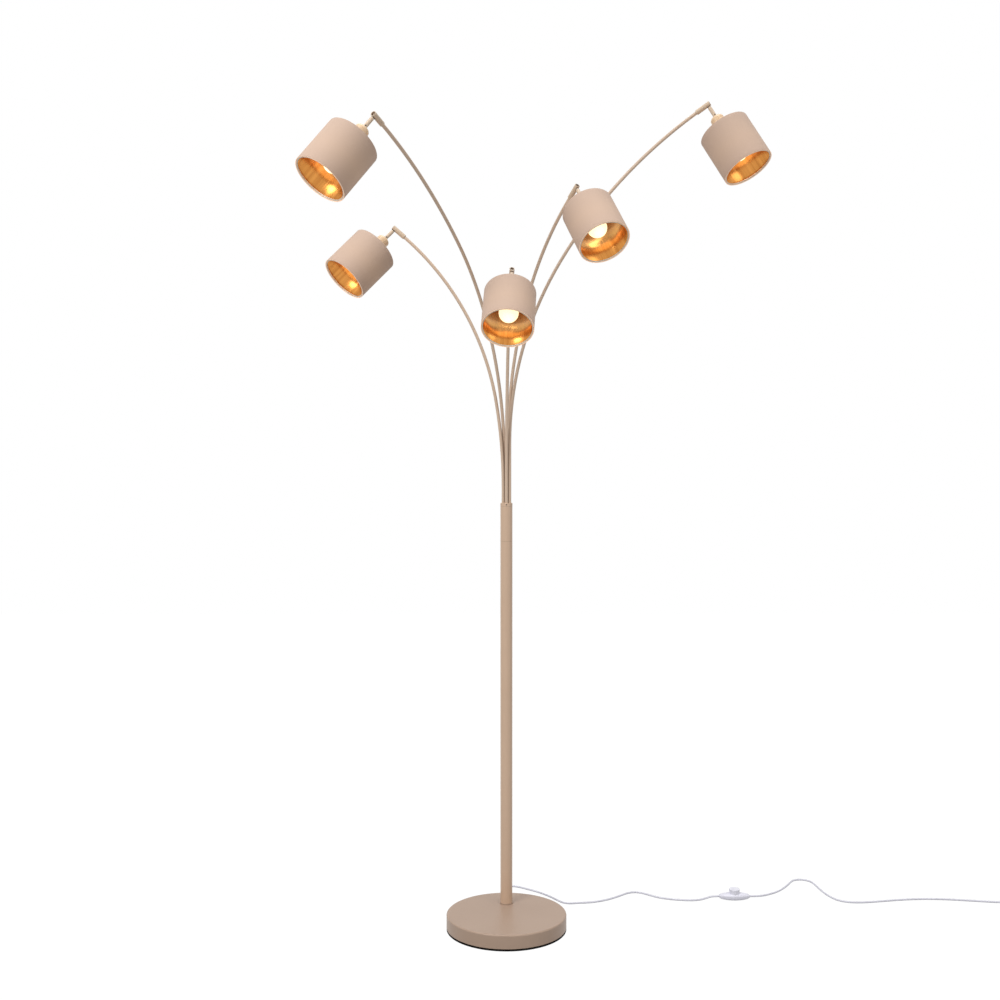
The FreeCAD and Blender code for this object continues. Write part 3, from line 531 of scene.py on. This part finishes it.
# %% [markdown]
# A lit frosted bulb is bright all over and has no hard highlight. Its glass gives off a warm white, and
# a faint frost keeps it from being one flat colour.

# %% Lit glass
FROST_SCALE = 300.0
lit_glass = Finish("bulb_glass", Roughness=0.25, Emission_Strength=1.35)
frost = lit_glass.noise(lit_glass.place(), FROST_SCALE)
lit_glass.set("Base Color", lit_glass.blend(frost, tint(255, 244, 222), tint(255, 250, 238)))
lit_glass.set("Emission Color", lit_glass.blend(frost, tint(255, 226, 170), tint(255, 236, 192)))
bulb_glass = lit_glass.material
print("glass ready")

# %% [markdown]
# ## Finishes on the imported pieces
# Every hard piece already has its right shape, so it only takes its own finish.

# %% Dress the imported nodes
finish_of = {
    "base_cover": base_paint, "base_pad": pad_rubber, "base_weight": cast_iron,
    "foot_collar": base_paint, "foot_stud": zinc, "foot_nut": zinc, "pole": pole_paint,
    "head_tube": pole_paint, "pole_cap": pole_paint, "cap_screws": black_steel,
    "terminal_block": block_plastic, "supply_lead": cord_plastic, "cord_gland": cord_plastic,
    "switch_lower": switch_plastic, "switch_upper": switch_plastic, "switch_button": button_plastic,
    "cord_to_switch": cord_plastic, "cord_after_switch": cord_plastic, "cord_coil": cord_plastic,
    "plug": cord_plastic,
    "arm": arm_paint, "barrel": barrel_paint, "stem": barrel_paint, "holder_cover": holder_paint,
    "lamp_socket": holder_plastic, "shade_carrier": wire_coat, "shade": shade_linen,
    "bulb": bulb_glass,
}
for name, node in nodes.items():
    kind = name.rstrip("12345").rstrip("_")
    node.data.materials.clear()
    node.data.materials.append(finish_of[kind])
for cord in (cord_near, cord_far):
    cord.data.materials.append(cord_plastic)
print("dressed", len(nodes), "nodes")

# %% [markdown]
# ## Shades
# The cloth is one sheet round the drum, folded over both edges and a few millimetres down inside,
# where it shows as a pale band round the opening; that band's paler colour and glow are painted bulb
# light. The foil film is a second, inner wall between the folds.

# %% Cloth and foil of the shades
SHADE_R = 0.060
CLOTH_T = 0.0004
FOLD_R = 0.0584
FOLD = 0.0055
FOLD_GAP = 0.001
FOIL_INNER_R = 0.05882
FOIL_OUTER_R = 0.0594
FOIL_SHORT = 0.0014
HEM_DEEP = 0.0002
SHADE_HIGH = -0.077
SHADE_LOW = SHADE_HIGH - SHADE_LENGTH
AROUND = 96


def shade_outline():
    """Closed outline: inside fold, lower edge, outer wall, upper edge, inside fold, and back inside."""
    middle = (SHADE_R + FOLD_R) / 2.0
    a = np.linspace(0.0, np.pi, 9)
    half = (SHADE_R - FOLD_R) / 2.0
    lower = [(middle - half * math.cos(t), SHADE_LOW + half - half * math.sin(t)) for t in a]
    wall = [(SHADE_R, z) for z in np.linspace(SHADE_LOW + half, SHADE_HIGH - half, 14)[1:-1]]
    upper = [(middle + half * math.cos(t), SHADE_HIGH - half + half * math.sin(t)) for t in a]
    inner, outer = FOLD_R + CLOTH_T, SHADE_R - CLOTH_T
    back = [(inner, SHADE_HIGH - FOLD), (inner, SHADE_HIGH - FOLD_GAP),
            (outer, SHADE_HIGH - FOLD_GAP), (outer, SHADE_LOW + FOLD_GAP),
            (inner, SHADE_LOW + FOLD_GAP), (inner, SHADE_LOW + FOLD)]
    front = [(FOLD_R, SHADE_LOW + FOLD)] + lower + wall + upper + [(FOLD_R, SHADE_HIGH - FOLD)]
    return front + back


cloth_outline = np.array(shade_outline())
steps_along = np.linalg.norm(np.diff(np.vstack([cloth_outline, cloth_outline[:1]]), axis=0), axis=1)
cloth_reach = np.concatenate([[0.0], np.cumsum(steps_along)])
foil_low = SHADE_LOW + FOIL_SHORT
foil_high = SHADE_HIGH - FOIL_SHORT
foil_outline = np.array([(FOIL_INNER_R, foil_low), (FOIL_INNER_R, foil_high),
                         (FOIL_OUTER_R, foil_high), (FOIL_OUTER_R, foil_low)])
foil_top = SHADE_LENGTH - FOIL_SHORT
foil_rows = np.array([FOIL_SHORT, foil_top, foil_top, FOIL_SHORT, FOIL_SHORT])
round_step = 2.0 * math.pi * SHADE_R / AROUND


def cloth_uv(i, j):
    """Metres round the drum, and metres along the folded sheet."""
    return np.stack([j * round_step, cloth_reach[i]], -1)


def foil_uv(i, j):
    """Metres round the drum, and metres above its lower edge."""
    return np.stack([j * round_step, foil_rows[i]], -1)


for number in LAMPS:
    axes = head_axes(number)
    body = f"head_{number}"
    cloth_grid = seated(turned(cloth_outline, AROUND), axes)
    cloth_mesh = surface(f"shade_cloth_{number}", cloth_grid, True, cloth_uv)
    cloth = add_piece(f"shade_cloth_{number}", cloth_mesh, body, shade_linen)
    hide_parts(f"shade_{number}")
    foil_grid = seated(turned(foil_outline, AROUND), axes)
    foil_mesh = surface(f"shade_foil_{number}", foil_grid, True, foil_uv)
    add_piece(f"shade_foil_{number}", foil_mesh, body, foil)
    # Faces inside the outer wall take the hem cloth, with its painted bulb light.
    cloth_mesh.materials.append(hem_linen_painted_light)
    marks = np.zeros(len(cloth_mesh.polygons), np.int32)
    centres = np.zeros(len(cloth_mesh.polygons) * 3)
    cloth_mesh.polygons.foreach_get("center", centres)
    ball, directions = axes
    local = (centres.reshape(-1, 3) - ball) @ directions.T
    radius = np.hypot(local[:, 0], local[:, 1])
    marks[radius < SHADE_R - HEM_DEEP] = 1
    cloth_mesh.polygons.foreach_set("material_index", marks)
print("shades made, folded edge of", FOLD, "m")

# %% [markdown]
# ## Bulbs
# A small round frosted bulb shows in each shade's mouth. Its glass is a sphere that narrows to a
# screw cap. The thread is a wave along the cap's height that advances by one pitch a turn.

# %% Bulb glass and screw cap
CONTACT_DROP = 0.0095
CONTACT = SHADE_HIGH - CONTACT_DROP
BULB_R = 0.0225
BULB_LENGTH = 0.078
BULB_CENTRE = CONTACT - BULB_LENGTH + BULB_R
NECK_R = 0.009
CAP_R = 0.0069
CAP_LENGTH = 0.020
CAP_LOW = CONTACT - CAP_LENGTH
CROWN_DROP = 0.0035
THREAD_PITCH = 0.0029
THREAD_DEPTH = 0.0004


def glass_outline():
    """Sphere from its lowest point to where it meets a neck, then the neck to the cap."""
    last = math.pi - math.asin(NECK_R / BULB_R)
    a = np.linspace(0.0, last, 28)
    sphere = [(BULB_R * math.sin(t), BULB_CENTRE - BULB_R * math.cos(t)) for t in a]
    top = sphere[-1][1]
    neck = [(NECK_R + (CAP_R - NECK_R) * s, top + (CAP_LOW - top) * s) for s in (0.3, 0.6, 1.0)]
    return sphere + neck + [(0.0, CAP_LOW)]


def threaded_cap(columns=40, rows=44):
    """Radius CAP_R - depth (1 - cos(2 pi z / pitch - angle)) / 2, closed at both ends."""
    a = np.arange(columns) * 2.0 * np.pi / columns
    z = np.linspace(CAP_LOW, CONTACT - CROWN_DROP, rows)[:, None]
    wave = (1.0 - np.cos(2.0 * np.pi * z / THREAD_PITCH - a)) / 2.0
    r = CAP_R - THREAD_DEPTH * wave
    wall = np.stack([r * np.cos(a), r * np.sin(a), z + 0.0 * a], -1)
    foot = turned([(0.0, CAP_LOW), (CAP_R * 0.98, CAP_LOW)], columns)
    crown = turned([(0.0035, CONTACT - 0.0006), (0.003, CONTACT), (0.0, CONTACT)], columns)
    return np.concatenate([foot, wall, crown])


for number in LAMPS:
    axes = head_axes(number)
    body = f"head_{number}"
    glass_mesh = surface(f"bulb_glass_{number}", seated(turned(glass_outline(), 48), axes))
    glass = add_piece(f"bulb_glass_{number}", glass_mesh, body, bulb_glass)
    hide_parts(f"bulb_{number}")
    cap_mesh = surface(f"bulb_cap_{number}", seated(threaded_cap(), axes))
    add_piece(f"bulb_cap_{number}", cap_mesh, body, brass)
print("bulbs made")

# %% [markdown]
# ## Small trim of the joints
# A dark ring in the barrel's open nose is painted shadow round the ball inside it, a dark ring in the
# gap above the stem is painted shadow in that gap, and a small dark screw locks the stem to the holder's
# cover. Each is a few millimetres of turned outline.

# %% Painted shadow rings in the nose and the gap, and stem screws
NOSE = 0.006
SCREW_DOWN = 0.0335
SCREW_FACE = 0.0045
RING_COLUMNS = 32


def ring_outline(inner, outer, low, high, edge=0.0003):
    """Rectangle with its corners cut off, going round once."""
    return [(inner, low), (outer - edge, low), (outer, low + edge), (outer, high - edge),
            (outer - edge, high), (inner, high)]


def screw_points():
    """A socket screw: its face at +Z has a hole for the key."""
    profile = [(0.0, -0.0010), (0.0017, -0.0010), (0.0017, 0.00005), (0.0014, 0.0003), (0.0008, 0.0003),
               (0.0008, -0.0005), (0.0, -0.0005)]
    return turned(profile, 20)


# Painted shadow round the ball in the barrel's open nose.
nose_shadow_ring = turned(ring_outline(0.0034, 0.0048, NOSE - 0.0006, NOSE + 0.0002), RING_COLUMNS)
# Painted shadow in the gap between the barrel and the stem.
gap_shadow_ring = turned(ring_outline(0.00205, 0.0034, -0.0076, -0.0061), RING_COLUMNS)
front = np.array([0.0, -1.0, 0.0])
for number in LAMPS:
    barrel, head = f"barrel_{number}", f"head_{number}"
    ring_mesh = surface(f"nose_shadow_ring_{number}", seated(nose_shadow_ring, barrel_axes(number)), True)
    add_piece(f"nose_shadow_ring_{number}", ring_mesh, barrel, dark_joint_and_painted_shadow)
    washer_mesh = surface(f"gap_shadow_ring_{number}", seated(gap_shadow_ring, head_axes(number)), True)
    add_piece(f"gap_shadow_ring_{number}", washer_mesh, head, dark_joint_and_painted_shadow)
    ball, directions = head_axes(number)
    outward = front - directions[2] * (front @ directions[2])
    outward = outward / np.linalg.norm(outward)
    screw_place = ball - directions[2] * SCREW_DOWN + outward * SCREW_FACE
    screw_rows = np.stack([np.cross(directions[2], outward), directions[2], outward])
    screw_mesh = surface(f"stem_screw_{number}", seated(screw_points(), (screw_place, screw_rows)))
    add_piece(f"stem_screw_{number}", screw_mesh, head, black_steel)
print("trim made")

# %% [markdown]
# ## Joints of the pole
# The head tube is pushed into the pole and the cap into the head tube. Each joint shows as a hairline
# round the paint, so a very thin dark band stands for it.

# %% Hairlines of the pole
POLE_BACK = 0.070
POLE_R = 0.015
HAIRLINE = 0.0002
HAIRLINE_DEEP = 0.0005
HAIRLINE_PROUD = 0.00004
SEAM_HEIGHT = 0.9555
CAP_HEIGHT = 1.0425
for label, height in (("seam", SEAM_HEIGHT), ("cap", CAP_HEIGHT)):
    band_outline = ring_outline(POLE_R - HAIRLINE_DEEP, POLE_R + HAIRLINE_PROUD,
                                height - HAIRLINE, height + HAIRLINE, 0.0001)
    band = turned(band_outline, 64) + np.array([0.0, POLE_BACK, 0.0])
    band_mesh = surface(f"pole_{label}_line", band, True)
    add_piece(f"pole_{label}_line", band_mesh, "stand", dark_joint_and_painted_shadow)
print("hairlines made")

# %% [markdown]
# ## Lip of the pad
# The rubber pad turns out under the cover's edge, so a black band shows all round above the floor.

# %% Rubber lip
PAD_R = 0.1455
LIP_R = 0.1479
LIP_LOW = 0.0008
LIP_HIGH = 0.00595
LIP_EDGE = 0.0002
lip = turned(ring_outline(PAD_R, LIP_R, LIP_LOW, LIP_HIGH, LIP_EDGE), 160)
lip_mesh = surface("pad_lip", lip, True)
add_piece("pad_lip", lip_mesh, "stand", pad_rubber)
print("lip", LIP_R * 2000, "mm across")

# %% [markdown]
# ## Foot switch
# The case is a slim moulding, widest and highest under the button and drawn in to both cords. It is
# one loft of superellipses, with a fine groove half way up where its two halves meet.

# %% Switch case
SWITCH_X, SWITCH_Y, SWITCH_Z = 0.600, 0.2055, 0.009
SWITCH_HALF = 0.041
END_HALF_WIDTH = 0.006
BELLY_WIDTH = 0.0109
END_HALF_HEIGHT = 0.0042
BELLY_HEIGHT = 0.00475
SQUARENESS = 0.72
END_SHARE = 0.55
GROOVE_SHARE = 0.035
GROOVE_HALF = 0.00035


def switch_case(rows=41, columns=96):
    """Half width is end + belly (1 - u^2) and half height is end + belly (1 - |u|^2.6), for u
    from -1 to 1, and both draw in to END_SHARE at the very ends."""
    u = np.linspace(-1.0, 1.0, rows)[:, None]
    a = np.arange(columns) * 2.0 * np.pi / columns
    closing = np.maximum((1.0 - np.abs(u) ** 24.0) ** 0.5, END_SHARE)
    w = (END_HALF_WIDTH + BELLY_WIDTH * (1.0 - u ** 2)) * closing
    t = (END_HALF_HEIGHT + BELLY_HEIGHT * (1.0 - np.abs(u) ** 2.6)) * closing
    lift = t * np.sign(np.sin(a)) * np.abs(np.sin(a)) ** SQUARENESS
    groove = 1.0 - GROOVE_SHARE * np.exp(-(lift / GROOVE_HALF) ** 2)
    side = w * np.sign(np.cos(a)) * np.abs(np.cos(a)) ** SQUARENESS * groove
    grid = np.stack([SWITCH_X + SWITCH_HALF * u + 0.0 * a, SWITCH_Y + side, SWITCH_Z + lift], -1)
    ends = [np.broadcast_to(grid[k].mean(0), grid[k].shape)[None] for k in (0, -1)]
    return np.concatenate([ends[0], grid, ends[1]])


case_mesh = surface("switch_case", switch_case())
case = add_piece("switch_case", case_mesh, "stand", switch_plastic)
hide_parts("switch_lower", "switch_upper")
print("switch case", SWITCH_HALF * 2, "m long")

# %% [markdown]
# ## Plug
# The plug lies beside the coil. Its body is one loft: rounded rectangles whose width and thickness
# change along it, with a ribbed sleeve where the cord goes in. Two round pins stand at its face.

# %% Plug body and pins
PLUG_X = PLUG_START[0]
PLUG_LENGTH = 0.058
PIN_SPREAD = 0.0093
PIN_OUTLINE = [(0.0, 0.0), (0.002, 0.0), (0.002, 0.0175), (0.0014, 0.0187), (0.0, 0.019)]
PLUG_STATIONS = [
    (0.000, 0.0026, 0.0026), (0.001, 0.0036, 0.0036), (0.004, 0.0037, 0.0037),
    (0.005, 0.0031, 0.0031), (0.007, 0.0031, 0.0031), (0.008, 0.0040, 0.0040),
    (0.011, 0.0041, 0.0041), (0.012, 0.0033, 0.0033), (0.014, 0.0033, 0.0033),
    (0.015, 0.0043, 0.0043), (0.018, 0.0045, 0.0045), (0.020, 0.0046, 0.0046),
    (0.022, 0.0068, 0.0060), (0.024, 0.0082, 0.0066), (0.028, 0.0108, 0.0068),
    (0.033, 0.0125, 0.0068), (0.040, 0.0129, 0.0066), (0.048, 0.0129, 0.0067),
    (0.056, 0.0130, 0.0068), (0.0574, 0.0127, 0.0065), (PLUG_LENGTH, 0.0119, 0.0057),
]


def lofted(stations, columns=40):
    """Superellipses |y/w|^n + |z/t|^n = 1 at each station, rounder where the body is narrow."""
    a = np.arange(columns) * 2.0 * np.pi / columns
    x, w, t = (np.array(stations)[:, k][:, None] for k in range(3))
    power = 2.0 / (2.0 + 2.0 * np.clip((w - 0.006) / 0.006, 0.0, 1.0))
    y = w * np.sign(np.cos(a)) * np.abs(np.cos(a)) ** power
    z = t * np.sign(np.sin(a)) * np.abs(np.sin(a)) ** power
    grid = np.stack([PLUG_X - x + 0.0 * a, PLUG_START[1] + y, PLUG_START[2] + z], -1)
    ends = [np.broadcast_to(grid[k].mean(0), grid[k].shape)[None] for k in (0, -1)]
    return np.concatenate([ends[0], grid, ends[1]])


plug_mesh = surface("plug_body", lofted(PLUG_STATIONS))
plug_body = add_piece("plug_body", plug_mesh, "stand", switch_plastic)
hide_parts("plug")
pin = turned(PIN_OUTLINE, 24)
pin_rows = np.array([[0.0, 1.0, 0.0], [0.0, 0.0, -1.0], [-1.0, 0.0, 0.0]])
for side, label in ((-1, "front"), (1, "back")):
    pin_y = PLUG_START[1] + side * PIN_SPREAD
    root = (np.array([PLUG_X - PLUG_LENGTH, pin_y, PLUG_START[2]]), pin_rows)
    pin_mesh = surface(f"plug_pin_{label}", seated(pin, root))
    pin_piece = add_piece(f"plug_pin_{label}", pin_mesh, "stand", brass)

# %% [markdown]

# %% [markdown]
# ## Room and light
# The lamp stands on plain white with hardly a shadow. To the camera, and in gloss and glass, the floor
# is white by its own colour, so no extra light is needed on the paint.

# %% Floor
WHITE = (1.0, 1.0, 1.0, 1.0)
FLOOR_WHITE = 0.9
FLOOR_GLOW = 1.1
FLOOR_HALF = 6.0


def seen_directly(tree):
    """1 for rays from the camera and in gloss or glass, which see the plain background."""
    rays = tree.nodes.new("ShaderNodeLightPath")
    either = tree.nodes.new("ShaderNodeMath")
    either.operation = "MAXIMUM"
    tree.links.new(rays.outputs["Is Camera Ray"], either.inputs[0])
    tree.links.new(rays.outputs["Is Glossy Ray"], either.inputs[1])
    any_ray = tree.nodes.new("ShaderNodeMath")
    any_ray.operation = "MAXIMUM"
    tree.links.new(either.outputs[0], any_ray.inputs[0])
    tree.links.new(rays.outputs["Is Transmission Ray"], any_ray.inputs[1])
    return any_ray.outputs[0]


floor_finish = Finish("floor_white", Roughness=0.9, Specular_IOR_Level=0.1)
floor_finish.set("Base Color", tint(176, 176, 176))
floor_tree = floor_finish.tree
glow = floor_tree.nodes.new("ShaderNodeEmission")
glow.inputs["Color"].default_value = WHITE
glow.inputs["Strength"].default_value = FLOOR_GLOW
share = Link(floor_finish, seen_directly(floor_tree)) * FLOOR_WHITE
mixed = floor_tree.nodes.new("ShaderNodeMixShader")
floor_tree.links.new(share.socket, mixed.inputs[0])
floor_tree.links.new(floor_finish.shader.outputs[0], mixed.inputs[1])
floor_tree.links.new(glow.outputs[0], mixed.inputs[2])
floor_tree.links.new(mixed.outputs[0], floor_tree.nodes["Material Output"].inputs["Surface"])
floor_mesh = bpy.data.meshes.new("floor")
h = FLOOR_HALF
floor_mesh.from_pydata([(-h, -h, 0), (h, -h, 0), (h, h, 0), (-h, h, 0)], [], [(0, 1, 2, 3)])
floor_mesh.materials.append(floor_finish.material)
floor = bpy.data.objects.new("floor", floor_mesh)
scene.collection.objects.link(floor)
print("floor", 2 * h, "m wide")

# %% [markdown]
# The sky is plain white to the camera and gives a weaker light to the object. A large soft lamp on the
# left and a weak one on the right model the tubes, and a wide one overhead lights the base's top.

# %% Sky and lamps
SKY_LIGHT = 0.4
world = bpy.data.worlds.new("sky")
scene.world = world
world.use_nodes = True
sky_tree = world.node_tree
sky_tree.nodes.clear()
soft_sky = sky_tree.nodes.new("ShaderNodeBackground")
soft_sky.inputs["Color"].default_value = WHITE
soft_sky.inputs["Strength"].default_value = SKY_LIGHT
plain_sky = sky_tree.nodes.new("ShaderNodeBackground")
plain_sky.inputs["Color"].default_value = WHITE
plain_sky.inputs["Strength"].default_value = 1.0
sky_mix = sky_tree.nodes.new("ShaderNodeMixShader")
sky_tree.links.new(seen_directly(sky_tree), sky_mix.inputs[0])
sky_tree.links.new(soft_sky.outputs[0], sky_mix.inputs[1])
sky_tree.links.new(plain_sky.outputs[0], sky_mix.inputs[2])
sky_out = sky_tree.nodes.new("ShaderNodeOutputWorld")
sky_tree.links.new(sky_mix.outputs[0], sky_out.inputs["Surface"])


def soft_lamp(name, place, aim, size, watts):
    """A square area light at place, facing aim."""
    data = bpy.data.lights.new(name, "AREA")
    data.size = size
    data.energy = watts
    lamp = bpy.data.objects.new(name, data)
    lamp.location = place
    away = np.array(place) - np.array(aim)
    level = math.hypot(away[0], away[1])
    lamp.rotation_euler = (math.atan2(level, away[2]), 0.0, math.atan2(away[0], -away[1]))
    scene.collection.objects.link(lamp)


soft_lamp("key_lamp", (-2.4, -3.0, 2.6), (0.0, 0.0, 0.9), 1.6, 80.0)
soft_lamp("fill_lamp", (2.8, -2.0, 1.8), (0.0, 0.0, 0.9), 1.6, 18.0)
soft_lamp("top_lamp", (0.0, -0.6, 7.0), (0.0, 0.0, 0.5), 4.0, 270.0)
print("light ready")

# %% [markdown]
# ## Closing
# The view layer is brought up to date at the end. The dressed lamp has to stay inside the imported
# lamp's box.

# %% Final update
bpy.context.view_layer.update()
